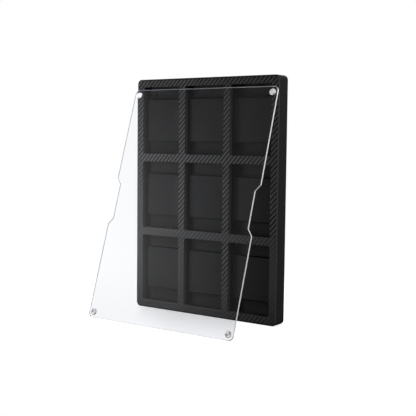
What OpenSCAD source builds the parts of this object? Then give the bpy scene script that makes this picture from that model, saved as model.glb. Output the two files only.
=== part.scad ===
// Nine-pocket display case for trading cards in magnetic holders.
//
// A shallow black frame holds a lattice of pockets three wide and three high. Its face is covered
// with a woven carbon skin. Behind the face, four slotted dividers cross between the frame's rails,
// and each pocket has a raised bed with a finger well above and below it. The back is closed by a
// screwed panel, which also takes the wall screws. A clear cover sheet with a disc magnet in each
// corner belongs over the face. Here it leans against the top of the frame, with its foot on the
// table. X runs to the right, Y to the back and Z up. The origin is the middle of the underside.

/* [Pockets] */
// Number of pockets side by side
columns = 3; // [2:1:4]
// Number of pockets one above the other
rows = 3; // [2:1:4]
// Width of a pocket at the face
pocket_w = 79.5; // [60:0.5:100]
// Height of a pocket at the face
pocket_h = 117.5; // [100:0.5:150]
// Corner radius of a pocket at the face
pocket_r = 3; // [1:0.5:5]
// How far the deeper pocket walls stand back from the edge of the face
set_back = 0.75; // [0.3:0.05:1.5]

/* [Face] */
// Width of the face beside the outer pockets
side_bar = 14.25; // [13:0.25:24]
// Height of the face above and below the outer pockets
end_bar = 13.25; // [12.75:0.25:24]
// Width of the face between two columns of pockets
column_bar = 12.5; // [8:0.5:24]
// Height of the face between two rows of pockets
row_bar = 13.5; // [8:0.5:24]
// Thickness of the woven skin
skin_t = 0.6; // [0.3:0.1:1]
// Thickness of the lattice that carries the skin
lattice_t = 7.4; // [5:0.2:10]

/* [Frame] */
// Thickness of the frame's wall beside the lattice and the back panel
wall_t = 2.5; // [1.8:0.1:4]
// Outer corner radius of the frame and of the cover sheet
corner_r = 8; // [5:0.5:12]
// Bevel round the front rim of the frame
front_bevel = 1; // [0.4:0.1:1.4]
// Bevel round the back rim of the frame
back_bevel = 0.6; // [0.3:0.1:1.4]
// Gap all round the lattice and the back panel where they drop into the frame
drop_in_gap = 0.1; // [0.05:0.05:0.3]

/* [Dividers] */
// Depth of a divider from the lattice to the back panel
divider_d = 14.5; // [12:0.5:24]
// How far a divider's ends run into the housings in the rails
housing_d = 3; // [1.5:0.5:4]
// Gap on each side of a divider in its housings and half laps
lap_gap = 0.1; // [0.05:0.05:0.3]

/* [Card beds] */
// Height of the raised bed in the middle of a pocket
bed_h = 74; // [50:1:85]
// Thickness of a bed on the back panel
bed_t = 8.25; // [3:0.25:11]
// Gap between a bed and the walls on both sides of it
bed_gap = 0.25; // [0.1:0.05:0.5]

/* [Back panel] */
// Thickness of the back panel
panel_t = 3.5; // [3:0.25:6]
// Diameter of the holes for the wall screws
wall_hole_d = 5; // [3.5:0.5:6]
// Diameter of the countersinks of the wall screws
wall_sink_d = 9; // [7:0.5:9.5]
// Distance from an outer pocket's side edge to the wall hole's centre
wall_hole_x = 11.3; // [8:0.1:20]
// Distance from an outer pocket's end edge to the wall hole's centre
wall_hole_z = 12.5; // [8:0.1:13]

/* [Panel screws] */
// Shank diameter of a panel screw
screw_d = 3; // [2:0.1:3.5]
// Head diameter of a panel screw
screw_head_d = 6; // [4.5:0.1:6.5]
// Length of a panel screw, head included
screw_l = 10; // [8:0.5:10.5]
// Length of the point of a panel screw
screw_point_l = 2; // [1:0.25:3]
// Span of the cross recess in a screw head
recess_span = 3; // [2:0.1:3.5]
// Width of the cross recess in a screw head
recess_w = 0.7; // [0.4:0.1:1]
// Depth of the cross recess in a screw head
recess_d = 0.9; // [0.5:0.1:1.2]
// Gap round a screw in its hole
screw_gap = 0.05; // [0.03:0.01:0.15]

/* [Cover sheet] */
// Thickness of the clear sheet
sheet_t = 3; // [2:0.5:5]
// Length of a finger notch at the sheet's edge
notch_outer_l = 82; // [70:1:100]
// Length of a finger notch at its bottom
notch_inner_l = 60; // [40:1:66]
// Depth of a finger notch
notch_d = 8.5; // [5:0.5:12]
// Radius of the corners at the bottom of a finger notch
notch_r = 2; // [1:0.5:4]
// Angle at which the sheet leans
lean = 17.8; // [10:0.1:25]
// Gap between the sheet's top edge and the face
lean_gap = 0.8; // [0.3:0.1:0.9]

/* [Magnets] */
// Diameter of the disc magnets
magnet_d = 10; // [8:0.5:12]
// Thickness of the magnets in the cover sheet, proud of its back
cover_magnet_t = 3.6; // [3.4:0.1:6]
// Thickness of the magnets under the skin of the face
face_magnet_t = 3; // [1.5:0.5:4]
// Distance from the case's outer edges to the centre of a magnet
magnet_inset = 9.5; // [9.5:0.1:10]
// Width of the bevel round a magnet's rims
magnet_bevel = 0.4; // [0.1:0.1:0.6]
// Glue gap round a magnet in its hole
magnet_gap = 0.05; // [0.03:0.01:0.15]

/* [Hidden] */
$fn = 64;

// Overall size, from the pockets and the bars between them
pitch_x = pocket_w + column_bar;
pitch_z = pocket_h + row_bar;
body_w = columns * pocket_w + (columns - 1) * column_bar + 2 * side_bar;
body_h = rows * pocket_h + (rows - 1) * row_bar + 2 * end_bar;

// Depths behind the face at which the layers start
lattice_y = skin_t;
divider_y = lattice_y + lattice_t;
panel_y = divider_y + divider_d;
body_d = panel_y + panel_t;
bed_y = panel_y - bed_t;

// Rails of the frame and dividers, all set back from the lattice
rail_w = side_bar - set_back;
rail_h = end_bar - set_back;
upright_t = column_bar - 2 * set_back;
crossbar_t = row_bar - 2 * set_back;

// Parts that drop into the frame, in front and at the back
insert_w = body_w - 2 * wall_t;
insert_h = body_h - 2 * wall_t;
insert_r = corner_r - wall_t;

// Screw lines in the middle of the rails and of the dividers
screw_edge_x = (rail_w + wall_t) / 2;
screw_edge_z = (rail_h + wall_t) / 2;
SCREW_X = concat([-body_w / 2 + screw_edge_x], [for (i = [1:columns - 1]) upright_x(i)],
                 [body_w / 2 - screw_edge_x]);
SCREW_Z = concat([screw_edge_z], [for (i = [1:rows - 1]) crossbar_z(i)], [body_h - screw_edge_z]);
head_cone_h = (screw_head_d - screw_d) / 2;
wall_sink_h = (wall_sink_d - wall_hole_d) / 2;

// Wall screw holes, one in the outer end well of each corner pocket
wall_hole_at_x = body_w / 2 - side_bar - wall_hole_x;
wall_hole_at_z = end_bar + wall_hole_z;

// Length added to a cutter so that it runs clear of the surface it cuts
over = 1;

FRAME_BLACK = [0.13, 0.13, 0.14];
DIVIDER_BLACK = [0.09, 0.09, 0.10];
BED_BLACK = [0.17, 0.17, 0.18];
CARBON_GREY = [0.25, 0.25, 0.26];
CLEAR = [0.86, 0.90, 0.96, 0.35];
NICKEL = [0.78, 0.78, 0.80];
STEEL_BLACK = [0.20, 0.20, 0.21];

CORNERS = [["bottom_left", -1, 0], ["bottom_right", 1, 0], ["top_left", -1, 1], ["top_right", 1, 1]];

function bed_name(r, c) = str("card_bed_row", r, "_col", c);

// Middles of the pockets and of the dividers. Columns count from the left, rows from the bottom.
function pocket_x(c) = (c - (columns + 1) / 2) * pitch_x;
function pocket_z(r) = end_bar + pocket_h / 2 + (r - 1) * pitch_z;
function upright_x(i) = pocket_x(i) + pitch_x / 2;
function crossbar_z(i) = pocket_z(i) + pitch_z / 2;

// Points of a corner rounded with radius r, between the directions of a and c as seen from b
function rounded_corner(a, b, c, r, steps = 8) =
    let (
        u = (a - b) / norm(a - b),
        v = (c - b) / norm(c - b),
        half = acos(u * v) / 2,
        middle = b + (u + v) / norm(u + v) * r / sin(half),
        from = b + u * r / tan(half) - middle,
        to = b + v * r / tan(half) - middle,
        sweep = 180 - 2 * half
    )
    [for (i = [0:steps]) middle + (from * sin(sweep * (1 - i / steps)) + to * sin(sweep * i / steps)) / sin(sweep)];

// Puts a piece that is drawn flat, with its front up, at a depth behind the face
module at_depth(depth) translate([0, depth - body_d / 2, 0]) rotate([90, 0, 0]) children();

// Puts a piece that is drawn flat, with its front up, into the plane of the leaning cover's back
module on_cover()
    translate([0, -body_d / 2 - lean_gap - body_h * sin(lean), 0])
        rotate([90 - lean, 0, 0])
            children();

module rounded_rect(w, h, r) {
    square([w - 2 * r, h], center = true);
    square([w, h - 2 * r], center = true);
    for (x = [-1, 1], y = [-1, 1])
        translate([x * (w / 2 - r), y * (h / 2 - r)])
            circle(r);
}

// Rim of a rounded slab, cut back at 45 degrees: a truncated cone at each corner, and two
// crossed bars with sloping sides between them
module bevelled_rim(w, h, r, bevel) {
    for (x = [-1, 1], y = [-1, 1])
        translate([x * (w / 2 - r), y * (h / 2 - r), 0])
            cylinder(h = bevel, r1 = r, r2 = r - bevel);
    rotate([90, 0, 0])
        linear_extrude(h - 2 * r, center = true)
            polygon([[-w / 2, 0], [w / 2, 0], [w / 2 - bevel, bevel], [bevel - w / 2, bevel]]);
    rotate([90, 0, 90])
        linear_extrude(w - 2 * r, center = true)
            polygon([[-h / 2, 0], [h / 2, 0], [h / 2 - bevel, bevel], [bevel - h / 2, bevel]]);
}

// Cutter as wide and high as the things that drop into the frame
module insert_cutter(depth)
    translate([0, body_h / 2, 0])
        linear_extrude(depth)
            rounded_rect(insert_w, insert_h, insert_r);

module outline_slab(t)
    translate([0, body_h / 2, 0])
        linear_extrude(t)
            rounded_rect(body_w, body_h, corner_r);

// Every pocket's outline at the face
module pocket_outlines()
    for (r = [1:rows], c = [1:columns])
        translate([pocket_x(c), pocket_z(r)])
            rounded_rect(pocket_w, pocket_h, pocket_r);

// The lattice's outline with its windows
module lattice_outline(gap)
    difference() {
        translate([0, body_h / 2])
            rounded_rect(insert_w - 2 * gap, insert_h - 2 * gap, insert_r - gap);
        pocket_outlines();
    }

module at_corner_magnets()
    for (k = CORNERS)
        at_corner_magnet(k) children();

module at_corner_magnet(k)
    translate([k[1] * (body_w / 2 - magnet_inset), magnet_inset + k[2] * (body_h - 2 * magnet_inset), 0])
        children();

module disc_magnet(t)
    rotate_extrude()
        polygon([
            [0, 0],
            [magnet_d / 2 - magnet_bevel, 0],
            [magnet_d / 2, magnet_bevel],
            [magnet_d / 2, t - magnet_bevel],
            [magnet_d / 2 - magnet_bevel, t],
            [0, t]
        ]);

module at_panel_screws()
    for (x = SCREW_X, z = SCREW_Z)
        translate([x, z, 0])
            children();

// Pilot holes for the panel screws, from the front of the panel towards the face
module pilot_holes()
    at_depth(panel_y + over)
        at_panel_screws()
            cylinder(h = screw_l - panel_t + over + screw_gap, d = screw_d + 2 * screw_gap);

// Housings that the dividers' ends sit in, cut through the rails from back to front
module housings()
    at_depth(panel_y)
        linear_extrude(divider_d) {
            for (i = [1:columns - 1])
                translate([upright_x(i), body_h / 2])
                    square([upright_t + 2 * lap_gap, body_h - 2 * (rail_h - housing_d)], center = true);
            for (i = [1:rows - 1])
                translate([0, crossbar_z(i)])
                    square([body_w - 2 * (rail_w - housing_d), crossbar_t + 2 * lap_gap], center = true);
        }

// Frame with rails, a rebate in front for the lattice and one at the back for the panel
module outer_frame()
    color(FRAME_BLACK)
        difference() {
            union() {
                at_depth(body_d - back_bevel)
                    outline_slab(body_d - back_bevel - front_bevel);
                at_depth(front_bevel)
                    translate([0, body_h / 2, 0])
                        bevelled_rim(body_w, body_h, corner_r, front_bevel);
                at_depth(body_d - back_bevel)
                    translate([0, body_h / 2, 0])
                        mirror([0, 0, 1])
                            bevelled_rim(body_w, body_h, corner_r, back_bevel);
            }
            at_depth(divider_y)
                insert_cutter(divider_y + over);
            at_depth(body_d + over)
                insert_cutter(panel_t + over);
            at_depth(panel_y + over)
                translate([0, body_h / 2, 0])
                    linear_extrude(divider_d + 2 * over)
                        square([body_w - 2 * rail_w, body_h - 2 * rail_h], center = true);
            housings();
            pilot_holes();
        }

// Lattice that carries the skin, with a blind seat in each corner for a magnet
module face_lattice()
    color(FRAME_BLACK)
        difference() {
            at_depth(divider_y)
                linear_extrude(lattice_t)
                    lattice_outline(drop_in_gap);
            at_depth(lattice_y + face_magnet_t)
                at_corner_magnets()
                    cylinder(h = face_magnet_t + over, d = magnet_d + 2 * magnet_gap);
        }

module carbon_skin()
    color(CARBON_GREY)
        at_depth(lattice_y)
            linear_extrude(skin_t)
                lattice_outline(drop_in_gap);

module face_magnet(k)
    color(NICKEL)
        at_depth(lattice_y + face_magnet_t)
            at_corner_magnet(k)
                disc_magnet(face_magnet_t);

// Upright divider, cut half through from the front where the crossbars pass over it
module upright_divider(i)
    color(DIVIDER_BLACK)
        difference() {
            at_depth(panel_y)
                translate([upright_x(i), body_h / 2, 0])
                    linear_extrude(divider_d)
                        square([upright_t, body_h - 2 * (rail_h - housing_d)], center = true);
            for (k = [1:rows - 1])
                at_depth(divider_y + divider_d / 2)
                    translate([upright_x(i), crossbar_z(k), 0])
                        linear_extrude(divider_d / 2 + over)
                            square([upright_t + 2 * over, crossbar_t + 2 * lap_gap], center = true);
            pilot_holes();
        }

// Crossbar, cut half through from the back where it passes over the upright dividers
module cross_divider(i)
    color(DIVIDER_BLACK)
        difference() {
            at_depth(panel_y)
                translate([0, crossbar_z(i), 0])
                    linear_extrude(divider_d)
                        square([body_w - 2 * (rail_w - housing_d), crossbar_t], center = true);
            for (k = [1:columns - 1])
                at_depth(panel_y + over)
                    translate([upright_x(k), crossbar_z(i), 0])
                        linear_extrude(divider_d / 2 + over)
                            square([upright_t + 2 * lap_gap, crossbar_t + 2 * over], center = true);
        }

module card_bed(r, c)
    color(BED_BLACK)
        at_depth(panel_y)
            translate([pocket_x(c), pocket_z(r), 0])
                linear_extrude(bed_t)
                    square([pocket_w + 2 * (set_back - bed_gap), bed_h], center = true);

// Back panel with countersunk holes, from the front for the wall and from the back for the rails
module back_panel()
    color(FRAME_BLACK)
        difference() {
            at_depth(body_d)
                translate([0, body_h / 2, 0])
                    linear_extrude(panel_t)
                        rounded_rect(insert_w - 2 * drop_in_gap, insert_h - 2 * drop_in_gap,
                                     insert_r - drop_in_gap);
            at_depth(body_d + over)
                for (x = [-1, 1], z = [0, 1])
                    translate([x * wall_hole_at_x, wall_hole_at_z + z * (body_h - 2 * wall_hole_at_z), 0]) {
                        cylinder(h = panel_t + 2 * over, d = wall_hole_d);
                        translate([0, 0, over + panel_t - wall_sink_h])
                            cylinder(h = wall_sink_h + over, d1 = wall_hole_d,
                                     d2 = wall_sink_d + 2 * over);
                    }
            at_depth(body_d)
                at_panel_screws() {
                    cylinder(h = panel_t + over, d = screw_d + 2 * screw_gap);
                    translate([0, 0, -over])
                        cylinder(h = head_cone_h + over, d1 = screw_head_d + 2 * (over + screw_gap),
                                 d2 = screw_d + 2 * screw_gap);
                }
        }

// One countersunk screw, drawn with its head down and its point up
module panel_screw()
    difference() {
        rotate_extrude()
            polygon([
                [0, 0],
                [screw_head_d / 2, 0],
                [screw_d / 2, head_cone_h],
                [screw_d / 2, screw_l - screw_point_l],
                [0, screw_l]
            ]);
        for (a = [0, 90])
            rotate([0, 0, a])
                translate([-recess_span / 2, -recess_w / 2, -over])
                    cube([recess_span, recess_w, recess_d + over]);
    }

module panel_screws()
    color(STEEL_BLACK)
        at_depth(body_d)
            at_panel_screws()
                panel_screw();

// Finger notch in the right edge of the sheet, with rounded inner corners
module notch_outline()
    let (
        edge = body_w / 2,
        bottom = edge - notch_d,
        slope = (notch_outer_l - notch_inner_l) / 2 / notch_d,
        outer = notch_outer_l / 2 + slope * over,
        inner = notch_inner_l / 2,
        p = [[edge + over, -outer], [bottom, -inner], [bottom, inner], [edge + over, outer]]
    )
    polygon(concat(
        [p[0]],
        rounded_corner(p[0], p[1], p[2], notch_r),
        rounded_corner(p[1], p[2], p[3], notch_r),
        [p[3]]
    ));

// Clear sheet with a hole for each magnet and a finger notch half way up each side
module cover_sheet()
    color(CLEAR)
        on_cover()
            difference() {
                outline_slab(sheet_t);
                translate([0, body_h / 2, -over])
                    for (s = [0, 1])
                        mirror([s, 0, 0])
                            linear_extrude(sheet_t + 2 * over)
                                notch_outline();
                translate([0, 0, -over])
                    at_corner_magnets()
                        cylinder(h = sheet_t + 2 * over, d = magnet_d + 2 * magnet_gap);
            }

// Magnet flush with the sheet's front and proud of its back
module cover_magnet(k)
    color(NICKEL)
        on_cover()
            translate([0, 0, sheet_t - cover_magnet_t])
                at_corner_magnet(k)
                    disc_magnet(cover_magnet_t);

outer_frame();
face_lattice();
carbon_skin();
for (i = [1:columns - 1])
    upright_divider(i);
for (i = [1:rows - 1])
    cross_divider(i);
for (r = [1:rows], c = [1:columns])
    card_bed(r, c);
back_panel();
panel_screws();
for (k = CORNERS)
    face_magnet(k);
cover_sheet();
for (k = CORNERS)
    cover_magnet(k);
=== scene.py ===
# %% [markdown]
# # A display case for nine trading cards
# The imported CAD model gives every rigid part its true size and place, in metres, with X to the
# right, Y to the back and Z up. This lesson dresses it. It replaces the parts whose edges a camera
# would catch with surfaces worked out by formula, and it gives every part a finish made of nodes.
# Loading the frame comes first, because everything else is placed by it.

import bpy
import numpy as np
from mathutils import Matrix
from mathutils.geometry import tessellate_polygon


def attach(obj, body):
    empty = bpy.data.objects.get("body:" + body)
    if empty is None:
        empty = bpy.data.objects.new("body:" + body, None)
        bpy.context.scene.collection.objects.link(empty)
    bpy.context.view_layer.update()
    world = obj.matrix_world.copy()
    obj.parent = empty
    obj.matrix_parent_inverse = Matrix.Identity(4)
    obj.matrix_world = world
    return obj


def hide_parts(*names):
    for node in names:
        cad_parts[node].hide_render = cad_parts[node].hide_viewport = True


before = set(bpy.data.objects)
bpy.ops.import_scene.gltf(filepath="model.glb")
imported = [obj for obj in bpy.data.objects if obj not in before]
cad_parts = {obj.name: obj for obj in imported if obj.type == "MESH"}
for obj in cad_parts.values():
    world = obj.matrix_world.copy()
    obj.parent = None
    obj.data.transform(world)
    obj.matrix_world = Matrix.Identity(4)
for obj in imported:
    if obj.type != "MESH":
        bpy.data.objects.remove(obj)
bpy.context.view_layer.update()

# %% [markdown]
# ## Sizes
# A maker works from a short list of measurements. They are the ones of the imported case, written in
# millimetres and turned into metres once, so that a formula never holds a bare number. The places
# of the pockets follow from them: a pocket and the bar beside it make one pitch.

# %% Sizes of the case and of its cover
MM = 0.001
CASE_W, CASE_H, CASE_D = 292 * MM, 406 * MM, 26 * MM
FACE_Y = -CASE_D / 2
SKIN_T, LATTICE_T = 0.6 * MM, 7.4 * MM
BED_W, BED_H, BED_T = 80.5 * MM, 74 * MM, 8.25 * MM
BED_FOOT = 22.5 * MM
POCKET_W, POCKET_H, POCKET_R = 79.5 * MM, 117.5 * MM, 3 * MM
PITCH_X, PITCH_Z, END_BAR = 92 * MM, 131 * MM, 13.25 * MM
INSERT_W, INSERT_H, INSERT_R = 286.8 * MM, 400.8 * MM, 5.4 * MM
SHEET_T, CORNER_R = 3 * MM, 8 * MM
NOTCH_OUTER, NOTCH_INNER, NOTCH_DEPTH = 41 * MM, 30 * MM, 8.5 * MM
MAGNET_R, MAGNET_T, MAGNET_INSET, MAGNET_GAP = 5 * MM, 3.6 * MM, 9.5 * MM, 0.05 * MM
LEAN, LEAN_GAP = np.radians(17.8), 0.8 * MM

pocket_x = (np.arange(3) - 1) * PITCH_X
pocket_z = END_BAR + POCKET_H / 2 + np.arange(3) * PITCH_Z
print("pocket middles in mm:", pocket_x / MM, pocket_z / MM)

# %% [markdown]
# ## Outlines
# The face, the sheet and the beds are all flat boards, so each one starts as an outline. A sawn or
# moulded corner is an arc that touches both sides, and one formula serves them all: the corners of
# a rectangle, and the bends of the finger notch too. Every outline keeps the material on its left,
# so an outer edge runs anticlockwise and a window runs clockwise.

# %% Rounded outlines
ARC_STEPS = 8


def rounded(corners, radii):
    """Closed outline through the corners, each replaced by an arc of its own radius.

    With u and v the unit vectors from a corner to its neighbours, and h half the angle between
    them, the arc's middle is the corner + (u + v) / |u + v| * r / sin h. The arc starts
    r / tan h along u, ends as far along v, and its points turn evenly from one to the other.
    """
    corners, radii = np.asarray(corners, float), np.asarray(radii, float)[:, None]
    back, ahead = np.roll(corners, 1, 0) - corners, np.roll(corners, -1, 0) - corners
    u = back / np.linalg.norm(back, axis=1, keepdims=True)
    v = ahead / np.linalg.norm(ahead, axis=1, keepdims=True)
    half = np.arccos(np.clip((u * v).sum(1, keepdims=True), -1, 1)) / 2
    bisector = (u + v) / np.linalg.norm(u + v, axis=1, keepdims=True)
    middle = corners + bisector * radii / np.sin(half)
    start = corners + u * radii / np.tan(half) - middle
    end = corners + v * radii / np.tan(half) - middle
    sweep = (np.pi - 2 * half)[:, :, None]
    step = np.linspace(0, 1, ARC_STEPS + 1)[None, :, None]
    arc = start[:, None] * np.sin(sweep * (1 - step)) + end[:, None] * np.sin(sweep * step)
    return (middle[:, None] + arc / np.sin(sweep)).reshape(-1, 2)


def rectangle(x, z, w, h, r):
    """A rectangle of width w and height h round (x, z), with corners of radius r."""
    signs = np.array([[-1, -1], [1, -1], [1, 1], [-1, 1]])
    return rounded(np.array([x, z]) + signs * [w / 2, h / 2], [r] * 4)


def circle(x, z, r, steps=64):
    """The points (x + r cos a, z + r sin a), with a from 0 to a full turn."""
    a = np.linspace(0, 2 * np.pi, steps, endpoint=False)
    return np.stack([x + r * np.cos(a), z + r * np.sin(a)], 1)


def mitres(outline):
    """At each point, the vector by which the outline moves to lie 1 unit inside the material.

    It is (m + n) / (1 + m . n), with m and n the normals of the edges before and after the point.
    """
    edge = np.roll(outline, -1, 0) - outline
    edge /= np.linalg.norm(edge, axis=1, keepdims=True)
    after = np.stack([-edge[:, 1], edge[:, 0]], 1)
    before = np.roll(after, 1, 0)
    return (before + after) / (1 + (before * after).sum(1, keepdims=True))


windows = [rectangle(x, z, POCKET_W, POCKET_H, POCKET_R)[::-1] for z in pocket_z for x in pocket_x]
insert_outline = rectangle(0, CASE_H / 2, INSERT_W, INSERT_H, INSERT_R)
print("windows:", len(windows), "with", len(windows[0]), "points each")

# %% [markdown]
# ## Boards
# An edge that was broken with a file or came out of a mould is never sharp, and it is the thin
# bright line on a dark object that tells the eye so. The Bevel modifier could round it, but on a
# plate with nine windows a profile carried round every outline gives even quads and full control.
# The two faces are then filled between the outer edge and the windows.

# %% Profiles and boards
FILE_STEPS, RING_APART = 5, 0.35
SLIVER = 1e-14


def rolled_rim(thickness, back_roll, front_roll):
    """The rim's profile from the back face to the front face, as (inset, height) pairs.

    A roll of radius r passes through (r - r sin a, r - r cos a) while a goes from 0 to a quarter
    turn. A further ring on each flat keeps the shading of the flats apart from the rolls.
    """
    a = np.linspace(0, np.pi / 2, FILE_STEPS + 1)
    apart = RING_APART * min(back_roll, front_roll)
    back = np.stack([back_roll * (1 - np.sin(a)), back_roll * (1 - np.cos(a))], 1)
    front = np.stack([front_roll * (1 - np.cos(a)), thickness - front_roll * (1 - np.sin(a))], 1)
    return np.concatenate([
        [[back_roll + apart, 0]],
        back,
        [[0, back_roll + apart], [0, thickness - front_roll - apart]],
        front,
        [[front_roll + apart, thickness]],
    ])


def band(first, rings, count):
    """Quads between rings of count points each, numbered from first, wrapping at the seam."""
    k, i = np.meshgrid(np.arange(rings - 1), np.arange(count), indexing="ij")
    j = (i + 1) % count
    at = first + k * count
    return np.stack([at + i, at + j, at + count + j, at + count + i], -1).reshape(-1, 4)


def fill(flat_points, starts, up):
    """Triangles of a flat face between outlines, as rows of point numbers, all facing up or down.

    A triangle's doubled area is a cross product of two sides, and its sign tells how it faces.
    """
    loops = [[(*p, 0.0) for p in loop.tolist()] for loop in flat_points]
    numbers = np.concatenate([s + np.arange(len(p)) for s, p in zip(starts, flat_points)])
    found = np.array(tessellate_polygon(loops))
    corner = np.concatenate(flat_points)[found]
    side, other = corner[:, 1] - corner[:, 0], corner[:, 2] - corner[:, 0]
    area = side[:, 0] * other[:, 1] - side[:, 1] * other[:, 0]
    wide = np.abs(area) > SLIVER
    found, area = found[wide], area[wide]
    wrong_way = (area > 0) != up
    found[wrong_way] = found[wrong_way][:, ::-1]
    return numbers[found]


def board(outlines, rim):
    """Points (x, z, height), faces and the count of rim faces of a flat board.

    On every outline, point i of ring k is outline[i] + mitre[i] * inset[k], at height[k].
    """
    points, quads, first_rings, last_rings, first_at, last_at = [], [], [], [], [], []
    count = 0
    for outline in outlines:
        ring = outline[None] + mitres(outline)[None] * rim[:, :1, None]
        height = np.broadcast_to(rim[:, 1:, None], ring[..., :1].shape)
        points.append(np.concatenate([ring, height], 2).reshape(-1, 3))
        quads.append(band(count, len(rim), len(outline)))
        first_rings.append(ring[0])
        last_rings.append(ring[-1])
        first_at.append(count)
        last_at.append(count + (len(rim) - 1) * len(outline))
        count += ring.shape[0] * ring.shape[1]
    quads = np.concatenate(quads)
    flats = [fill(first_rings, first_at, False), fill(last_rings, last_at, True)]
    return np.concatenate(points), quads.tolist() + np.concatenate(flats).tolist(), len(quads)


# %% [markdown]
# ## From the drawing board into the room
# A board is drawn flat, with its front up. In the case it stands upright, so its height points to
# the front. The cover leans: its foot is on the table and its top edge rests near the face. Writing
# the place into the mesh keeps every object at the origin, as the CAD nodes are.

# %% Places and pieces
def in_case(back_depth):
    """Places a drawn point (x, z, h) at (x, face + back_depth - h, z)."""
    def place(p):
        return np.stack([p[:, 0], FACE_Y + back_depth - p[:, 2], p[:, 1]], 1)
    return place


def on_cover(p):
    """Places a drawn point on the leaning cover, turned by the lean about the sheet's foot.

    y = foot + z sin(lean) - h cos(lean), and the height is z cos(lean) + h sin(lean).
    """
    foot = FACE_Y - LEAN_GAP - CASE_H * np.sin(LEAN)
    y = foot + p[:, 1] * np.sin(LEAN) - p[:, 2] * np.cos(LEAN)
    return np.stack([p[:, 0], y, p[:, 1] * np.cos(LEAN) + p[:, 2] * np.sin(LEAN)], 1)


def make_piece(name, points, faces, finishes):
    """A smooth-shaded mesh object from placed points and faces, with its finishes as slots."""
    mesh = bpy.data.meshes.new(name)
    mesh.from_pydata(points.tolist(), [], faces)
    mesh.polygons.foreach_set("use_smooth", np.ones(len(faces), bool))
    for finish in finishes:
        mesh.materials.append(finish)
    mesh.update()
    piece = bpy.data.objects.new(name, mesh)
    bpy.context.scene.collection.objects.link(piece)
    open_edges = len(mesh.loops) // 2 - len(mesh.edges)
    print(f"{name}: {len(points)} points, {len(faces)} faces, edges off a closed shell: {open_edges}")
    return piece


def finish_rim(piece, rim_count):
    """Gives a board's rim, which is its first faces, the second of its finishes."""
    numbers = (np.arange(len(piece.data.polygons)) < rim_count).astype(np.int32)
    piece.data.polygons.foreach_set("material_index", numbers)


# %% [markdown]
# ## Node helpers
# A finish is a small net of nodes. One helper that makes a node, sets its fields and joins its
# inputs keeps each net readable, as one line for each step of the formula. Patterns read Object
# coordinates, which are metres on the part itself, so a pattern has a true size and stays put.

# %% Helpers for nodes
def new_finish(name):
    """An empty node material, its node tree, its output and its Principled shader."""
    finish = bpy.data.materials.new(name)
    finish.use_nodes = True
    tree = finish.node_tree
    tree.nodes.clear()
    output = tree.nodes.new("ShaderNodeOutputMaterial")
    shader = tree.nodes.new("ShaderNodeBsdfPrincipled")
    tree.links.new(shader.outputs["BSDF"], output.inputs["Surface"])
    return finish, tree, output, shader


def add(tree, kind, inputs=None, **fields):
    """A new node of a kind, with its fields set and its inputs joined to sockets or set."""
    node = tree.nodes.new("ShaderNode" + kind)
    for field, value in fields.items():
        setattr(node, field, value)
    for key, value in (inputs or {}).items():
        if isinstance(value, bpy.types.NodeSocket):
            tree.links.new(value, node.inputs[key])
        else:
            node.inputs[key].default_value = value
    return node


def calc(tree, operation, *values):
    """The result of a Math node on sockets or numbers."""
    return add(tree, "Math", dict(enumerate(values)), operation=operation).outputs[0]


def ramp(tree, value, start, end, low=0.0, high=1.0, smooth=True):
    """Low up to the start, high from the end on, and between them a soft or a straight passage."""
    inputs = {"Value": value, "From Min": start, "From Max": end, "To Min": low, "To Max": high}
    passage = "SMOOTHSTEP" if smooth else "LINEAR"
    return add(tree, "MapRange", inputs, interpolation_type=passage).outputs["Result"]


def spread(tree, value, low, high):
    """A value from 0 to 1, spread evenly between low and high."""
    return ramp(tree, value, 0.0, 1.0, low, high, smooth=False)


def blend_colours(tree, factor, first, second):
    """A mix of two colours, each a socket or three numbers. The Mix node holds them at 6 and 7."""
    node = add(tree, "Mix", {0: factor}, data_type="RGBA", clamp_factor=True)
    for key, value in ((6, first), (7, second)):
        if isinstance(value, bpy.types.NodeSocket):
            tree.links.new(value, node.inputs[key])
        else:
            node.inputs[key].default_value = (*value, 1)
    return node.outputs[2]


# %% [markdown]
# ## Patterns
# A mould, a lapping plate and a roll of cloth all leave an uneven surface, and the eye misses it at
# once where it is absent. Noise gives it: equal lumps for a grain or a cloud, and lumps drawn out
# along one axis for scratches and fibres. The Bump node turns a height into shading, which is
# enough for a relief of a few hundredths of a millimetre.

# %% Helpers for patterns
def place_along(tree, axis):
    """The place on the part along one axis, in metres."""
    return add(tree, "SeparateXYZ", {0: add(tree, "TexCoord").outputs["Object"]}).outputs[axis]


def scaled_place(tree, scale):
    """Object coordinates in metres, times a scale for each axis."""
    place = add(tree, "TexCoord").outputs["Object"]
    return add(tree, "Mapping", {"Vector": place, "Scale": scale}).outputs["Vector"]


def drawn_noise(tree, scale, detail, roughness=0.5):
    """Noise from 0 to 1, with about so many lumps in a metre along each axis."""
    inputs = {"Vector": scaled_place(tree, scale), "Scale": 1.0, "Detail": detail}
    return add(tree, "TexNoise", {**inputs, "Roughness": roughness}).outputs["Fac"]


def noise(tree, scale, detail, roughness=0.55):
    """Noise from 0 to 1 with equal lumps, about 1 / scale metres across."""
    return drawn_noise(tree, (scale, scale, scale), detail, roughness)


def relief(tree, shader, height, distance, strength=1.0):
    """Bumps the shader by a height from 0 to 1 that stands distance metres tall."""
    inputs = {"Height": height, "Distance": distance, "Strength": strength}
    tree.links.new(add(tree, "Bump", inputs).outputs["Normal"], shader.inputs["Normal"])


# %% [markdown]
# ## The moulded blacks
# The frame, the lattice, the dividers, the beds and the back panel are five blacks that differ in
# shade and in grain. Satin plastic has a fine spark-eroded grain, the dividers are flat and dead,
# the beds are soft to the touch and a little lighter, and the panel has the coarse grain of pressed
# board. The dividers' near black is partly their own dead black and partly painted shade of the
# deep pocket walls. An image for each would repeat and show its seams. One recipe with other
# numbers serves them all: a cloudy shade, a grain that bumps the surface, and a roughness that drifts.

# %% Black finishes
CLOUDS, CLOUD_SHARE = 45, 0.65


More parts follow.
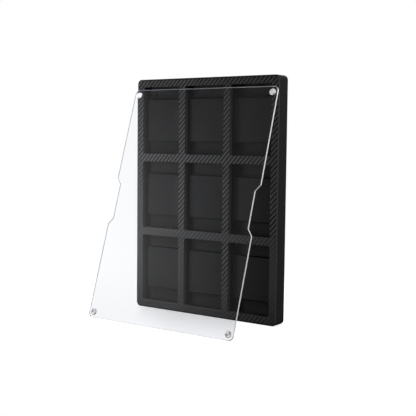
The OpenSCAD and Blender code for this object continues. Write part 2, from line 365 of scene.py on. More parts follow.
def black_finish(name, dark, light, grain, depth, smooth, rough, shine):
    """Black with a shade between dark and light, and a grain of so many lumps in a metre.

    CLOUD_SHARE of the shade is a slow cloud, which sets the roughness too. The rest is the grain.
    """
    finish, tree, _, shader = new_finish(name)
    cloud = noise(tree, CLOUDS, detail=2.0)
    speck = noise(tree, grain, detail=2.0, roughness=0.6)
    shade = calc(tree, "MULTIPLY_ADD", speck, 1 - CLOUD_SHARE, calc(tree, "MULTIPLY", cloud, CLOUD_SHARE))
    tree.links.new(blend_colours(tree, shade, dark, light), shader.inputs["Base Color"])
    tree.links.new(spread(tree, cloud, smooth, rough), shader.inputs["Roughness"])
    shader.inputs["Specular IOR Level"].default_value = shine
    relief(tree, shader, speck, depth)
    return finish


satin_frame = black_finish(
    "satin_frame_black", dark=(0.0125, 0.0125, 0.013), light=(0.0175, 0.0175, 0.018),
    grain=2600, depth=0.04 * MM, smooth=0.42, rough=0.56, shine=0.05)
moulded_lattice = black_finish(
    "moulded_lattice_black", dark=(0.019, 0.019, 0.0195), light=(0.026, 0.026, 0.0265),
    grain=2600, depth=0.03 * MM, smooth=0.5, rough=0.62, shine=0.1)
# Near black, darker than the lattice: partly the dividers' own dead black, partly painted shade of the
# deep pocket walls.
divider_black_and_shade = black_finish(
    "divider_black_and_painted_shade", dark=(0.002, 0.002, 0.0021), light=(0.004, 0.004, 0.0042),
    grain=1800, depth=0.03 * MM, smooth=0.66, rough=0.8, shine=0.04)
soft_bed = black_finish(
    "soft_bed_black", dark=(0.0192, 0.0192, 0.0195), light=(0.0224, 0.0224, 0.0228),
    grain=3200, depth=0.01 * MM, smooth=0.62, rough=0.74, shine=0.1)
pressed_panel = black_finish(
    "pressed_panel_black", dark=(0.0182, 0.0182, 0.0185), light=(0.0252, 0.0252, 0.0256),
    grain=1400, depth=0.05 * MM, smooth=0.6, rough=0.75, shine=0.1)
blacks = [satin_frame, moulded_lattice, divider_black_and_shade, soft_bed, pressed_panel]
print("blacks:", [finish.name for finish in blacks])

# %% [markdown]
# ## Painted rim highlights
# The rim between the face and the sides catches the light and shows as a thin pale line down each
# side, and this is painted: the frame's black is lightened to a paler grey there. A second material
# on those faces would end in a hard edge. Two ramps over the place, one out to the side and one to
# the front, lighten the frame's black gradually where both are high.

# %% Painted highlight on the side rims of the frame
RIM_HIGHLIGHT_GREY = (0.055, 0.055, 0.057)
HIGHLIGHT_FROM_SIDE, HIGHLIGHT_FROM_FACE = (3.5 * MM, 1.5 * MM), (1.0 * MM, 0.3 * MM)


def paint_rim_highlights(finish):
    """Blends the highlight grey in by a ramp of |x| towards the side times one of y towards the face."""
    tree = finish.node_tree
    shader = tree.nodes["Principled BSDF"]
    moulded = shader.inputs["Base Color"].links[0].from_socket
    outward = calc(tree, "ABSOLUTE", place_along(tree, "X"))
    at_side = ramp(tree, outward, *(CASE_W / 2 - inset for inset in HIGHLIGHT_FROM_SIDE), smooth=False)
    depth = place_along(tree, "Y")
    at_front = ramp(tree, depth, *(FACE_Y + inset for inset in HIGHLIGHT_FROM_FACE), smooth=False)
    highlighted = blend_colours(tree, calc(tree, "MULTIPLY", at_side, at_front), moulded, RIM_HIGHLIGHT_GREY)
    tree.links.new(highlighted, shader.inputs["Base Color"])


# A painted highlight: a paler grey line down each side rim of the frame.
paint_rim_highlights(satin_frame)
print("rubbed rims on:", satin_frame.name)

# %% [markdown]
# ## Woven carbon
# The face is a twill: each tow, a flat ribbon of fibres 2 mm wide, passes over two others and under
# two, and each row starts one tow further on, so the floats line up as slanting bands. An image of
# cloth would stretch and repeat. Arithmetic on the place gives it at its true size. The first step
# finds which tow is on top, and the height of its crown.

# %% Over two and under two
TOW_WIDE, TOW_HIGH = 2 * MM, 2.15 * MM
FLOAT_LENGTH, WEAVE_REPEAT = 2.0, 4.0
CROWN_BASE, CROWN_SWELL = 0.55, 0.45


def crown(tree, across, along):
    """sqrt(sin of the place across) * (CROWN_BASE + CROWN_SWELL * sin of the place along)."""
    width = calc(tree, "POWER", calc(tree, "SINE", calc(tree, "MULTIPLY", across, np.pi)), 0.5)
    length = calc(tree, "SINE", calc(tree, "MULTIPLY", along, np.pi / FLOAT_LENGTH))
    return calc(tree, "MULTIPLY", width, calc(tree, "MULTIPLY_ADD", length, CROWN_SWELL, CROWN_BASE))


def choose(tree, upright, up_value, level_value):
    """The upright tow's value where it is on top, else the level tow's."""
    return add(tree, "Mix", {0: upright, 2: level_value, 3: up_value}).outputs[0]


def woven_tows(tree):
    """1 where the upright tow is on top, else 0, and the height of the tow that is on top.

    With U = x / width and V = z / height of a tow's cell, and i and j their whole parts, the place
    along an upright float is V - i + 1 and along a level float U - j - 2, both wrapped at the
    repeat. The upright tow is on top where the first is under the length of a float.
    """
    cells = add(tree, "SeparateXYZ", {0: scaled_place(tree, (1 / TOW_WIDE, 1, 1 / TOW_HIGH))})
    u, v = cells.outputs["X"], cells.outputs["Z"]
    i, j = calc(tree, "FLOOR", u), calc(tree, "FLOOR", v)
    past_i = calc(tree, "ADD", calc(tree, "SUBTRACT", v, i), 1.0)
    past_j = calc(tree, "SUBTRACT", calc(tree, "SUBTRACT", u, j), 2.0)
    along_up = calc(tree, "FLOORED_MODULO", past_i, WEAVE_REPEAT)
    along_level = calc(tree, "FLOORED_MODULO", past_j, WEAVE_REPEAT)
    upright = calc(tree, "LESS_THAN", along_up, FLOAT_LENGTH)
    up_crown = crown(tree, calc(tree, "FRACT", u), along_up)
    level_crown = crown(tree, calc(tree, "FRACT", v), along_level)
    return upright, choose(tree, upright, up_crown, level_crown)


print("twill of cells in mm:", TOW_WIDE / MM, TOW_HIGH / MM)

# %% [markdown]
# ## Where the painted sheen of the weave fades
# The upright tows turn their fibres to the light and look paler than the level ones, and that
# paleness is painted sheen in their tone. This contrast fades at the lower left, on the lower
# crossbar and at the lower right, and the fade paints how the light shows the weave less there.
# Thinner relief would change the cloth itself, so the weave stays whole and only the painted tones
# of its two tows are drawn together there, by ramps over the place in metres.

# %% Fade of the weave
FADE, BAR_FADE = 0.7, 0.6
LOW_LEFT = (150 * MM, 30 * MM)
RIGHT_RAIL, LOW_RIGHT = (118 * MM, 128 * MM), (170 * MM, 110 * MM)
UNDER_BAR, OVER_BAR = (122 * MM, 131 * MM), (153 * MM, 144 * MM)


def weave_sheen_fade(tree):
    """How far the painted sheen tones of the tows are drawn together, from 0 to FADE.

    It follows the greatest of three: a ramp down x + z at the lower left, a ramp in x times a ramp
    in z on the right rail, and two ramps in z, from below and from above, on the lower crossbar.
    """
    right, up = place_along(tree, "X"), place_along(tree, "Z")
    low_left = ramp(tree, calc(tree, "ADD", right, up), *LOW_LEFT)
    low_right = calc(tree, "MULTIPLY", ramp(tree, right, *RIGHT_RAIL), ramp(tree, up, *LOW_RIGHT))
    low_bar = calc(tree, "MULTIPLY", ramp(tree, up, *UNDER_BAR), ramp(tree, up, *OVER_BAR))
    low_bar = calc(tree, "MULTIPLY", low_bar, BAR_FADE)
    greatest = calc(tree, "MAXIMUM", low_left, calc(tree, "MAXIMUM", low_right, low_bar))
    return calc(tree, "MULTIPLY", greatest, FADE)


print("fade of the tones at the most:", FADE)

# %% [markdown]
# ## The lacquered twill
# Each tow is hundreds of fibres under lacquer. Its tone comes from the way that it runs, and the
# paler tone of the upright tows is painted sheen. Its crown darkens it where it dips under the next
# tow, which is painted shade, and a fine streak along it comes from the fibres. The level tows lie
# flatter and are the glossier ones, so the roughness follows the tone.

# %% Twill finish
# The paler tone of the upright tows is painted sheen.
LEVEL_TONE, UPRIGHT_TONE_AND_SHEEN, MIDDLE_TONE = (0.0145, 0.0145, 0.0148), (0.0625, 0.0625, 0.063), 0.46
UP_FIBRES, LEVEL_FIBRES = (9000, 100, 250), (250, 100, 9000)
CROWN_PAINTED_SHADE, FIBRE_SHADE = (0.55, 1.0), (0.7, 1.3)
TOW_ROUGHNESS, FIBRE_ROUGHNESS = (0.22, 0.6), (-0.08, 0.08)
WEAVE_DEPTH, FIBRE_DEPTH, WEAVE_STRENGTH, TOW_SHINE = 0.12 * MM, 0.12, 0.8, 0.2


def twill_finish():
    """The tow's tone, paler upright as painted sheen, times painted crown shade and a fibre shade."""
    finish, tree, _, shader = new_finish("woven_carbon")
    upright, height = woven_tows(tree)
    fibres = [drawn_noise(tree, scale, detail=2.0) for scale in (UP_FIBRES, LEVEL_FIBRES)]
    thread = choose(tree, upright, *fibres)
    # The crown's shade darkens a tow where it dips under the next one: painted shade.
    shade = calc(tree, "MULTIPLY", spread(tree, height, *CROWN_PAINTED_SHADE), spread(tree, thread, *FIBRE_SHADE))
    evened = add(tree, "Mix", {0: weave_sheen_fade(tree), 2: upright, 3: MIDDLE_TONE}).outputs[0]
    tone = blend_colours(tree, evened, LEVEL_TONE, UPRIGHT_TONE_AND_SHEEN)
    shaded = add(tree, "VectorMath", {0: tone, "Scale": shade}, operation="SCALE").outputs[0]
    tree.links.new(shaded, shader.inputs["Base Color"])
    even, streak = spread(tree, evened, *TOW_ROUGHNESS), spread(tree, thread, *FIBRE_ROUGHNESS)
    tree.links.new(calc(tree, "ADD", even, streak), shader.inputs["Roughness"])
    shader.inputs["Specular IOR Level"].default_value = TOW_SHINE
    cloth = calc(tree, "MULTIPLY_ADD", thread, FIBRE_DEPTH, height)
    relief(tree, shader, cloth, WEAVE_DEPTH, WEAVE_STRENGTH)
    return finish


woven_carbon = twill_finish()
print("twill finish:", woven_carbon.name)

# %% [markdown]
# ## Metals
# The disc magnets are plated with nickel, and those of the cover keep the faint rings of the
# lapping plate. The panel screws are blackened steel, a little scuffed. A metal has no colour of its
# own beyond what it reflects, so its detail is in the roughness and in the relief. Real rings would
# take thousands of faces. An anisotropic gloss, stretched across the rings, gives their look.

# %% Nickel and blackened steel
SCRATCH_DEPTH, RING_STRETCH = 0.01 * MM, 0.9


def metal_finish(name, dark, light, grain, smooth, rough, metallic, scratches):
    """Metal with a cloudy shade, and scratches that are noise drawn out along an axis."""
    finish, tree, _, shader = new_finish(name)
    scratch = drawn_noise(tree, scratches, detail=3.0)
    cloud = noise(tree, grain, detail=2.0)
    tree.links.new(blend_colours(tree, cloud, dark, light), shader.inputs["Base Color"])
    tree.links.new(spread(tree, scratch, smooth, rough), shader.inputs["Roughness"])
    shader.inputs["Metallic"].default_value = metallic
    relief(tree, shader, scratch, SCRATCH_DEPTH)
    return finish


def turn_gloss(finish):
    """Stretches the gloss across the rings, along the direction in which the UV map's U grows."""
    tree = finish.node_tree
    shader = tree.nodes["Principled BSDF"]
    shader.inputs["Anisotropic"].default_value = RING_STRETCH
    across_rings = add(tree, "Tangent", direction_type="UV_MAP", uv_map="turning").outputs["Tangent"]
    tree.links.new(across_rings, shader.inputs["Tangent"])


nickel = metal_finish(
    "nickel_plate", dark=(0.55, 0.54, 0.52), light=(0.72, 0.71, 0.69), grain=300,
    smooth=0.2, rough=0.36, metallic=1.0, scratches=(500, 500, 6000))
black_steel = metal_finish(
    "blackened_steel", dark=(0.02, 0.02, 0.022), light=(0.06, 0.06, 0.064), grain=900,
    smooth=0.3, rough=0.5, metallic=0.8, scratches=(4000, 500, 700))
turned_nickel = metal_finish(
    "turned_nickel", dark=(0.80, 0.80, 0.80), light=(0.92, 0.92, 0.92), grain=300,
    smooth=0.36, rough=0.44, metallic=0.7, scratches=(900, 900, 900))
turn_gloss(turned_nickel)
print("metals:", nickel.name, black_steel.name, turned_nickel.name)

# %% [markdown]
# ## Clear sheet
# Clear acrylic bends light a little less than window glass and has a very faint blue cast. Its sawn
# edges are polished by flame but stay a touch cloudy, so they gather light and show as bright lines.
# Cycles would put everything behind glass in shadow, since lamps are not traced through it, so the
# shader lets shadow and diffuse rays straight through.

# %% Clear sheet and its edge
ACRYLIC_IOR = 1.49
WAVES, WAVE_DEPTH, WAVE_STRENGTH = 14, 0.02 * MM, 0.3


def clear_finish(name, colour, roughness):
    """Acrylic that lets the light of lamps through.

    Light that goes straight through meets two faces, so each one takes the root of the colour.
    """
    finish, tree, output, shader = new_finish(name)
    shader.inputs["Base Color"].default_value = (*colour, 1)
    shader.inputs["Roughness"].default_value = roughness
    shader.inputs["IOR"].default_value = ACRYLIC_IOR
    shader.inputs["Transmission Weight"].default_value = 1.0
    relief(tree, shader, noise(tree, WAVES, detail=1.0), WAVE_DEPTH, WAVE_STRENGTH)
    path = add(tree, "LightPath")
    through = calc(tree, "MAXIMUM", path.outputs["Is Shadow Ray"], path.outputs["Is Diffuse Ray"])
    open_way = add(tree, "BsdfTransparent", {"Color": (*[c ** 0.5 for c in colour], 1)})
    mixed = add(tree, "MixShader", {0: through, 1: shader.outputs[0], 2: open_way.outputs[0]})
    tree.links.new(mixed.outputs[0], output.inputs["Surface"])
    return finish


clear_sheet = clear_finish("clear_acrylic", (0.97, 0.98, 1.0), roughness=0.0)
clear_edge = clear_finish("polished_acrylic_edge", (0.88, 0.91, 0.96), roughness=0.3)
print("clear finishes:", clear_sheet.name, clear_edge.name)

# %% [markdown]
# ## The two sides of the edge
# The left edge of the sheet is seen against the white room and shows as a thin blue line. The right
# one crosses the dark case and catches the light as a pale line. The edge is one material, so the
# difference is painted: the right edge is made paler and cloudier, a painted highlight, and the left
# one bluer and clearer. They are one outline, so two materials would need a split of the rim. A
# blend over the place across the sheet does it.

# %% Edge finish from left to right
LEFT_CAST, RIGHT_CAST, CAST_HALF = (0.82, 0.88, 1.0), (0.92, 0.93, 0.95), 140 * MM
LEFT_CLEARNESS, RIGHT_CLEARNESS, RIGHT_EDGE = 0.38, 0.26, (134 * MM, 137 * MM)


def paint_edge_highlight_by_side(finish):
    """Painted edge highlight: a ramp of x over the full width for the cast, a short one for clearness."""
    tree = finish.node_tree
    shader = tree.nodes["Principled BSDF"]
    across = place_along(tree, "X")
    clearness = ramp(tree, across, *RIGHT_EDGE, LEFT_CLEARNESS, RIGHT_CLEARNESS, smooth=False)
    tree.links.new(clearness, shader.inputs["Transmission Weight"])
    share = ramp(tree, across, -CAST_HALF, CAST_HALF, smooth=False)
    tree.links.new(blend_colours(tree, share, LEFT_CAST, RIGHT_CAST), shader.inputs["Base Color"])


paint_edge_highlight_by_side(clear_edge)
print("edge clearness, left and right:", LEFT_CLEARNESS, RIGHT_CLEARNESS)

# %% [markdown]
# ## The face
# The face is two layers: the woven skin, and under it the moulded lattice that the skin is bonded
# to. Both have the same nine windows. The skin's rim is rolled over at the windows, and the
# lattice's edge is broken under it, so that a fine shadow line shows between the layers. Cutting
# windows out of a block would leave ragged triangles round them. The board of the outlines doesn't.

# %% Skin and lattice
SKIN_ROLLS, LATTICE_ROLLS = (0.08 * MM, 0.4 * MM), (0.6 * MM, 0.35 * MM)
face_outlines = [insert_outline, *windows]

skin_points, skin_faces, _ = board(face_outlines, rolled_rim(SKIN_T, *SKIN_ROLLS))
carbon_face = make_piece("carbon_face", in_case(SKIN_T)(skin_points), skin_faces, [woven_carbon])
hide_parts("carbon_skin")
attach(carbon_face, "case")

lattice_points, lattice_faces, _ = board(face_outlines, rolled_rim(LATTICE_T, *LATTICE_ROLLS))
pocket_lattice = make_piece(
    "pocket_lattice", in_case(SKIN_T + LATTICE_T)(lattice_points), lattice_faces, [moulded_lattice])
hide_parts("face_lattice")
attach(pocket_lattice, "case")

# %% [markdown]
# ## The beds
# A holder lies on a raised bed that leaves a finger well above and below. The bed is a moulded
# block, and its front rim is rounded so that it doesn't mark the holder. Nine linked copies would
# have to be moved off the origin. One board, made nine times at the middles of the pockets, gives
# them all where they belong. The rim takes the near black of the dividers, which paints a thin
# line of shade round the bed.

# %% Nine card beds
BED_R, BED_ROLLS = 1.0 * MM, (0.2 * MM, 0.9 * MM)
bed_rim = rolled_rim(BED_T, *BED_ROLLS)
for row, z in enumerate(pocket_z, 1):
    for column, x in enumerate(pocket_x, 1):
        points, faces, rim_count = board([rectangle(x, z, BED_W, BED_H, BED_R)], bed_rim)
        placed = in_case(BED_FOOT)(points)
        bed = make_piece(f"rounded_bed_row{row}_col{column}", placed, faces, [soft_bed, divider_black_and_shade])
        # The rim takes the near-black divider finish, which paints a line of shade round the bed.
        finish_rim(bed, rim_count)
        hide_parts(f"card_bed_row{row}_col{column}")
        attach(bed, "case")

# %% [markdown]
# ## The clear cover
# The sheet has the outline of the case, a finger notch half way up each side, and a hole in each
# corner for a magnet. The Boolean modifier could cut them out of a plain sheet. As outlines of a
# board, the outer one with twelve corners, they get rolled rims too. The faces of the rim take the
# edge finish, because a sawn edge doesn't look like the face of the sheet.

# %% Sheet with notches and magnet holes
OUTER_BEND_R, INNER_BEND_R = 1 * MM, 2 * MM
SHEET_ROLLS = (0.3 * MM, 0.3 * MM)
edge_x, notch_x, half_way = CASE_W / 2, CASE_W / 2 - NOTCH_DEPTH, CASE_H / 2
right_side = [
    (edge_x, 0), (edge_x, half_way - NOTCH_OUTER), (notch_x, half_way - NOTCH_INNER),
    (notch_x, half_way + NOTCH_INNER), (edge_x, half_way + NOTCH_OUTER), (edge_x, CASE_H)]
side_radii = [CORNER_R, OUTER_BEND_R, INNER_BEND_R, INNER_BEND_R, OUTER_BEND_R, CORNER_R]
left_side = [(-x, z) for x, z in right_side[::-1]]
sheet_outline = rounded(right_side + left_side, side_radii + side_radii[::-1])
magnet_x, magnet_top = edge_x - MAGNET_INSET, CASE_H - MAGNET_INSET
magnet_places = {
    "bottom_left": (-magnet_x, MAGNET_INSET),
    "bottom_right": (magnet_x, MAGNET_INSET),
    "top_left": (-magnet_x, magnet_top),
    "top_right": (magnet_x, magnet_top),
}
holes = [circle(x, z, MAGNET_R + MAGNET_GAP)[::-1] for x, z in magnet_places.values()]

points, faces, rim_count = board([sheet_outline, *holes], rolled_rim(SHEET_T, *SHEET_ROLLS))
clear_cover = make_piece("clear_cover", on_cover(points), faces, [clear_sheet, clear_edge])
finish_rim(clear_cover, rim_count)
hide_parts("cover_sheet")
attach(clear_cover, "cover")

# %% [markdown]
# ## The cover's magnets
# A disc magnet is a turned shape: a profile spun about its axis, with both rims rolled and the
# front a little dished. The Screw modifier could spin it. Doing it by formula also gives a UV map
# that follows the profile and the turn, which the gloss of the turned metal needs.

# %% Turned shapes
def turned(profile, steps=72):
    """Points and faces of a profile of (radius, height) pairs spun round the height axis.

    Point i of ring k is (r cos a, r sin a, h). The two ends close on a single point each. Each
    point's UV is its distance along the profile and its share of the turn.
    """
    a = np.linspace(0, 2 * np.pi, steps, endpoint=False)
    r, h = profile[:, :1], profile[:, 1:]
    rings = np.stack([r * np.cos(a), r * np.sin(a), h + 0 * a], 2).reshape(-1, 3)
    count = len(rings)
    ends = np.array([[0, 0, profile[0, 1]], [0, 0, profile[-1, 1]]])
    i = np.arange(steps)
    j = (i + 1) % steps
    last = count - steps
    under = np.stack([np.full(steps, count), j, i], 1)
    over = np.stack([np.full(steps, count + 1), last + i, last + j], 1)
    quads = band(0, len(profile), steps)
    along = np.concatenate([[0], np.cumsum(np.linalg.norm(np.diff(profile, axis=0), axis=1))])
    uv = np.stack(np.broadcast_arrays(along[:, None], a / (2 * np.pi)), 2).reshape(-1, 2)
    uv = np.concatenate([uv, [[-profile[0, 0], 0.5], [along[-1] + profile[-1, 0], 0.5]]])
    return np.concatenate([rings, ends]), quads.tolist() + under.tolist() + over.tolist(), uv


# %% [markdown]
# ## Four magnets in the sheet
# The magnets are glued into the corner holes. They sit flush with the front of the sheet and stand
# 0.6 mm proud behind it, so that they meet the face first. All four have one profile. It is a list
# of arcs and flats, because a magnet that is cut as a plain cylinder shows no bright ring.

# %% Turned disc magnets
MAGNET_ROLL, ROLL_CLEAR, RING_IN = 0.45 * MM, 1.3, 0.15 * MM
DISH_DEPTH, DISH_IN, MIDDLE_R = 0.05 * MM, 0.5 * MM, 0.6 * MM


def magnet_profile():
    """From the middle of the back over both rolled rims to a dished front.

    Each roll of radius r is the arc (core + r sin a, r - r cos a) or its mirror image in height,
    with a from 0 to a quarter turn. Flat rings before and after keep the shading of the flats.
    """
    a = np.linspace(0, np.pi / 2, FILE_STEPS + 1)
    core, dish = MAGNET_R - MAGNET_ROLL, MAGNET_T - DISH_DEPTH
    back = np.stack([core + MAGNET_ROLL * np.sin(a), MAGNET_ROLL * (1 - np.cos(a))], 1)
    front = np.stack([core + MAGNET_ROLL * np.cos(a), MAGNET_T - MAGNET_ROLL * (1 - np.sin(a))], 1)
    wall = [[MAGNET_R, MAGNET_ROLL * ROLL_CLEAR], [MAGNET_R, MAGNET_T - MAGNET_ROLL * ROLL_CLEAR]]
    flat = [[MIDDLE_R, 0], [core - RING_IN, 0]]
    lip = [[core - RING_IN, MAGNET_T], [core - DISH_IN, dish], [MIDDLE_R, dish]]
    return np.concatenate([flat, back, wall, front, lip])


for corner, (x, z) in magnet_places.items():
    points, faces, uv = turned(magnet_profile())
    points += [x, z, SHEET_T - MAGNET_T]
    magnet = make_piece(f"plated_magnet_{corner}", on_cover(points), faces, [turned_nickel])
    point_of = np.zeros(len(magnet.data.loops), np.int32)
    magnet.data.loops.foreach_get("vertex_index", point_of)
    magnet.data.uv_layers.new(name="turning").uv.foreach_set("vector", uv[point_of].ravel())
    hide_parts(f"cover_magnet_{corner}")
    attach(magnet, "cover")

# %% [markdown]
# ## The carried-over parts
# The frame, the dividers, the back panel, the screws and the magnets under the skin have the right
# shape already, and making them again would add nothing. Each keeps its mesh and only trades its
# plain colour for one of the finishes.

# %% Finishes for the CAD parts
finish_of = {
    "outer_frame": satin_frame,
    **{f"{way}_divider_{number}": divider_black_and_shade for way in ("upright", "cross") for number in (1, 2)},
    "back_panel": pressed_panel,
    "panel_screws": black_steel,
    **{f"face_magnet_{corner}": nickel for corner in magnet_places},
}
for name, finish in finish_of.items():
    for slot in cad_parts[name].material_slots:
        slot.material = finish
print("CAD parts finished:", len(finish_of))

# %% [markdown]
# ## The table's finish
# The case stands on a pale table in a pale room. The table takes the shadow, and fades out at its
# rim so that it has no horizon. More lamps would make it white but would also wash out the blacks,
# so it is lifted by a little light of its own, which the camera sees and which lights nothing. Seen
# bare it has one level. Seen through the clear sheet it has another, with painted shadow and painted
# light: past a slanted line it drops towards the case, a painted shadow that deepens the soft one
# under the sheet, and before that line it is a flat pale that paints out the table's own shadow.

# %% Table finish
TABLE_PALE, BARE_PALE, GLAZED_PALE = 0.2, 0.66, (-0.15, 0.65)
BARE_LIFT, GLAZED_LIFT, SHADED_LIFT, DEEP_LIFT = 0.82, 0.989, -0.399, -0.075
SLANT = (0.818, 0.575, 0)
SHADED_REACH, DEEP_REACH = (-130 * MM, -104 * MM), (-104 * MM, -55 * MM)
TABLE_FADE, TABLE_ROUGHNESS = (250 * MM, 600 * MM), 0.35


def pale_table():
    """White that takes shadows, plus a light of its own, fading to clear away from the case.

    Two ramps of the place along the slant say how far a spot lies in the painted shadow seen through
    the sheet: shaded and deep. The own light is BARE_LIFT for a bare view, and GLAZED_LIFT +
    SHADED_LIFT * shaded + DEEP_LIFT * deep for a glazed one. The white is TABLE_PALE, plus BARE_PALE
    for a bare view, or plus a passage between the values of GLAZED_PALE, as the spot is shaded, for a
    glazed one.
    """
    finish, tree, output, shader = new_finish("pale_table")
    path = add(tree, "LightPath").outputs
    bare, glazed = path["Is Camera Ray"], path["Is Transmission Ray"]
    place = add(tree, "TexCoord").outputs["Object"]
    along = add(tree, "VectorMath", {0: place, 1: SLANT}, operation="DOT_PRODUCT").outputs["Value"]
    # These two ramps paint the shadow seen through the sheet: flat pale before the slant, darker past it.
    shaded, deep = ramp(tree, along, *SHADED_REACH), ramp(tree, along, *DEEP_REACH)
    pale = calc(tree, "MULTIPLY_ADD", glazed, spread(tree, shaded, *GLAZED_PALE), TABLE_PALE)
    pale = calc(tree, "MULTIPLY_ADD", bare, BARE_PALE, pale)
    tree.links.new(pale, shader.inputs["Base Color"])
    shader.inputs["Roughness"].default_value = TABLE_ROUGHNESS
    shader.inputs["Specular IOR Level"].default_value = 0.0
    giving = calc(tree, "MULTIPLY_ADD", shaded, SHADED_LIFT, GLAZED_LIFT)
    giving = calc(tree, "MULTIPLY_ADD", deep, DEEP_LIFT, giving)
    own = calc(tree, "MULTIPLY_ADD", bare, BARE_LIFT, calc(tree, "MULTIPLY", glazed, giving))
    lift = add(tree, "Emission", {"Color": (1, 1, 1, 1), "Strength": own})
    lifted = add(tree, "AddShader", {0: shader.outputs[0], 1: lift.outputs[0]})
    away = add(tree, "VectorMath", {0: place}, operation="LENGTH").outputs["Value"]
    clear = add(tree, "BsdfTransparent")
    faded = {0: ramp(tree, away, *TABLE_FADE), 1: lifted.outputs[0], 2: clear.outputs[0]}
    tree.links.new(add(tree, "MixShader", faded).outputs[0], output.inputs["Surface"])
    return finish


print("table fades out between, in metres:", TABLE_FADE)

# %% [markdown]
# ## The table
# A table that has no thickness in view needs no more than a single face.

# %% Table
TABLE_HALF = 1.4


def single_face(name, corners, finish):
    """An object of one face, with corners that run anticlockwise as seen from its front."""
    mesh = bpy.data.meshes.new(name)
    mesh.from_pydata(corners, [], [(0, 1, 2, 3)])
    mesh.materials.append(finish)
    face = bpy.data.objects.new(name, mesh)
    bpy.context.scene.collection.objects.link(face)
    return face


table_corners = [(x * TABLE_HALF, y * TABLE_HALF, 0) for x, y in ((-1, -1), (1, -1), (1, 1), (-1, 1))]
table = single_face("table", table_corners, pale_table())
print("table, side in metres:", 2 * TABLE_HALF)

# %% [markdown]
# ## Painted shade behind the wall holes
# The wall holes look dark from the front, because the space behind the case lies in shade. A dark
# card behind the back panel paints that shade. It is smaller than the panel, it shows only through
# the holes, and from behind it is clear, so that the panel is seen.

# %% Painted shade card behind the holes
CARD_HALF, CARD_LOW, CARD_HIGH, CARD_Y = 130 * MM, 16 * MM, 390 * MM, 14.5 * MM
PAINTED_SHADE_BLACK = (0.01, 0.01, 0.01, 1)


def one_way_painted_shade():
    """Painted shade, near black from the front, and clear where a ray meets the back of the face."""
    finish, tree, output, shader = new_finish("painted_shade_card_finish")
    shader.inputs["Base Color"].default_value = PAINTED_SHADE_BLACK
    shader.inputs["Specular IOR Level"].default_value = 0.0
    behind, clear = add(tree, "NewGeometry").outputs["Backfacing"], add(tree, "BsdfTransparent")
    one_way = add(tree, "MixShader", {0: behind, 1: shader.outputs[0], 2: clear.outputs[0]})
    tree.links.new(one_way.outputs[0], output.inputs["Surface"])
    return finish


card_corners = [
    (-CARD_HALF, CARD_Y, CARD_LOW), (CARD_HALF, CARD_Y, CARD_LOW),
    (CARD_HALF, CARD_Y, CARD_HIGH), (-CARD_HALF, CARD_Y, CARD_HIGH)]
# A card of painted shade: it stands for the shade behind the case, seen through the wall holes.
painted_shade_card = single_face("painted_shade_card", card_corners, one_way_painted_shade())
painted_shade_card.visible_diffuse = painted_shade_card.visible_glossy = painted_shade_card.visible_shadow = False
print("dark card behind the panel, in mm:", 2 * CARD_HALF / MM, (CARD_HIGH - CARD_LOW) / MM)

# %% [markdown]
# ## The studio that gloss shows
# A black, glossy thing is seen by what it mirrors. A photographer stands pale screens round it: here
# a white backdrop behind the case, a wide screen on the left that is bright in its upper part, a
# small bright one high on the left, and weaker ones in front and on the right. Real screens would
# light the case too. A formula of the mirrored direction gives their look alone.

# %% Soft screens
# For each screen: its direction, the cosines at its rim and where it is full, and its brightness
# outside and inside. The left one is multiplied by its upper part.
SCREENS = {
    "backdrop": ((-0.573, 0.815, 0.0), (0.6, 0.85), (0.0, 1.0)),
    "left": ((-0.972, -0.1, -0.213), (0.526, 0.876), (0.116, 2.28)),
    "upper part": ((0, 0, 1), (0.22, 0.335), (0.065, 1.0)),
    "high": ((-0.85, 0.05, 0.55), (0.88, 0.985), (0.0, 4.5)),
    "front": ((0.15, -0.97, 0.15), (0.9, 0.985), (0.0, 0.4)),
    "right": ((0.85, -0.5, 0.25), (0.85, 0.98), (0.0, 1.0)),
}


def glow(tree, towards, direction, rim, brightness):
    """A soft screen: a ramp over the cosine of the angle between a ray and the given direction."""
    aim = np.array(direction) / np.linalg.norm(direction)
    near = add(tree, "VectorMath", {0: towards, 1: tuple(aim)}, operation="DOT_PRODUCT")
    return ramp(tree, near.outputs["Value"], *rim, *brightness)


def studio_screens(tree):
    """The brightness of the brightest screen in a ray's direction."""
    towards = add(tree, "TexCoord").outputs["Generated"]
    glows = {name: glow(tree, towards, *screen) for name, screen in SCREENS.items()}
    glows["left"] = calc(tree, "MULTIPLY", glows["left"], glows.pop("upper part"))
    brightest = glows.pop("backdrop")
    for screen in glows.values():
        brightest = calc(tree, "MAXIMUM", brightest, screen)
    return brightest


print("screens:", list(SCREENS))

# %% [markdown]
# ## The room
# A black, glossy case in a pale room looks grey, because it mirrors the room. Walls can't be both
# pale and dark, but a world shader can, as it answers each kind of ray in its own way. The camera,
# and rays through the clear sheet, see plain white. Mirror rays see the studio's screens. What is
# left lights the matt surfaces evenly and faintly from all round.

# %% World
AMBIENT, GLAZED_WHITE = 0.24, 1.03


def room_world():
    """White for direct views, the studio for mirrored ones and AMBIENT for the rest."""
    world = bpy.data.worlds.new("room")
    world.use_nodes = True
    tree = world.node_tree
    tree.nodes.clear()
    path = add(tree, "LightPath").outputs
    unmirrored = calc(tree, "LESS_THAN", path["Glossy Depth"], 0.5)
    through_sheet = calc(tree, "MULTIPLY", path["Is Transmission Ray"], unmirrored)
    seen_white = calc(tree, "MAXIMUM", path["Is Camera Ray"], through_sheet)
    white = spread(tree, path["Is Camera Ray"], GLAZED_WHITE, 1.0)
    mirrored = add(tree, "Mix", {0: path["Is Glossy Ray"], 2: AMBIENT, 3: studio_screens(tree)}).outputs[0]
    strength = add(tree, "Mix", {0: seen_white, 2: mirrored, 3: white}).outputs[0]
    background = add(tree, "Background", {"Color": (1, 1, 1, 1), "Strength": strength})
    add(tree, "OutputWorld", {"Surface": background.outputs[0]})
    return world


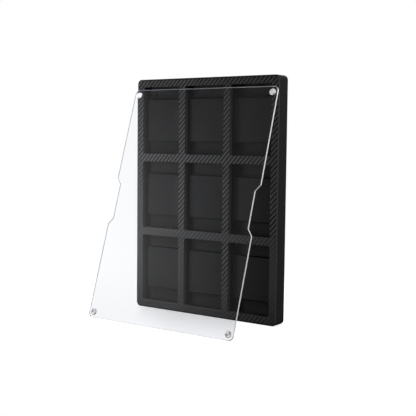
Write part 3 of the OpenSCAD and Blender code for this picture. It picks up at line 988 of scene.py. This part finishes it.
bpy.context.scene.world = room_world()
print("room's even light:", AMBIENT)

# %% [markdown]
# ## Lamps
# Five soft boxes light the case: a narrow one close in front of its left half, a fill from high on
# the right, one overhead, a strip that grazes the face from the left and picks out the weave, and
# one for the magnets of the cover. The first three are hidden from mirror rays, because the room
# holds the screens that the gloss shows.

# %% Soft boxes
def soft_box(name, place, target, size, power, glossy=False):
    """An area lamp, wide by high, at a place, turned so that its light goes to the target."""
    lamp = bpy.data.lights.new(name, "AREA")
    lamp.shape, lamp.energy = "RECTANGLE", power
    lamp.size, lamp.size_y = size
    holder = bpy.data.objects.new(name, lamp)
    aim = np.array(target, float) - np.array(place, float)
    aim /= np.linalg.norm(aim)
    side = np.cross(aim, [0, 0, 1])
    side /= np.linalg.norm(side)
    turn = np.stack([side, np.cross(side, aim), -aim], 1)
    holder.matrix_world = Matrix.Translation(place) @ Matrix(turn.tolist()).to_4x4()
    holder.visible_camera = holder.visible_transmission = False
    holder.visible_glossy = glossy
    bpy.context.scene.collection.objects.link(holder)
    return holder


key_box = soft_box(
    "key_box", place=(-0.095, -0.21, 0.18), target=(-0.095, 0, 0.18), size=(0.1, 0.34), power=0.58)
fill_box = soft_box(
    "fill_box", place=(1.1, -0.08, 1.05), target=(0, 0, 0.3), size=(0.8, 0.8), power=17)
top_box = soft_box(
    "top_box", place=(0.0, 0.15, 2.0), target=(0, 0, 0.1), size=(0.6, 0.6), power=14)
edge_strip = soft_box(
    "edge_strip", place=(-0.33, -0.055, 0.22), target=(0, -0.02, 0.22), size=(0.02, 0.56), power=1.2,
    glossy=True)
magnet_box = soft_box(
    "magnet_box", place=(-0.46, -0.65, 0.53), target=(0, -0.08, 0.2), size=(0.3, 0.5), power=1.6,
    glossy=True)
boxes = [key_box, fill_box, top_box, edge_strip, magnet_box]
print("soft boxes and their watts:", {box.name: round(box.data.energy, 2) for box in boxes})

# %% [markdown]
# ## Flags
# A photographer keeps a lamp off a thing with a flag, a black card on a stand. Light linking is the
# flag of a renderer: a collection on the lamp names the things that it leaves out, or the only ones
# that it lights. It keeps the table free of hot spots and the clear sheet free of glare.

# %% Flags for the soft boxes
def flag(lamp, link_state, things):
    """Leaves the things out of the lamp's light for EXCLUDE, or lights only them for INCLUDE."""
    flagged = bpy.data.collections.new(f"flags_of_{lamp.name}")
    for thing in things:
        flagged.objects.link(thing)
    for member in flagged.collection_objects:
        member.light_linking.link_state = link_state
    lamp.light_linking.receiver_collection = flagged


magnets = [bpy.data.objects[f"plated_magnet_{corner}"] for corner in magnet_places]
flag(key_box, "EXCLUDE", [table, clear_cover, *magnets])
flag(fill_box, "EXCLUDE", [table])
flag(top_box, "EXCLUDE", [clear_cover, *magnets])
flag(edge_strip, "EXCLUDE", [table, clear_cover])
flag(magnet_box, "INCLUDE", magnets)
print("magnets with a soft box of their own:", len(magnets))

# %% [markdown]
# ## Camera and colour
# The camera stands to the right of the case, above its middle, and looks at it through a short
# telephoto lens. Its place and turn were found by matching the corners of the case. The view
# transform is Standard, so that colours come out as written.

# %% Camera
FOCAL_LENGTH, SENSOR_WIDTH = 73.06, 36
CAMERA_PLACE = (0.82945, -1.17949, 0.30096)
camera_right = np.array([0.81758, 0.57571, 0.0108])
camera_down = np.array([0.05503, -0.05946, -0.99671])
camera_forward = np.array([-0.57318, 0.81549, -0.08029])

camera_data = bpy.data.cameras.new("camera")
camera_data.lens, camera_data.sensor_width = FOCAL_LENGTH, SENSOR_WIDTH
camera = bpy.data.objects.new("camera", camera_data)
camera_turn = np.stack([camera_right, -camera_down, -camera_forward], 1)
camera.matrix_world = Matrix.Translation(CAMERA_PLACE) @ Matrix(camera_turn.tolist()).to_4x4()
bpy.context.scene.collection.objects.link(camera)
bpy.context.scene.camera = camera
bpy.context.scene.view_settings.view_transform = "Standard"
print("camera, focal length in mm:", FOCAL_LENGTH)
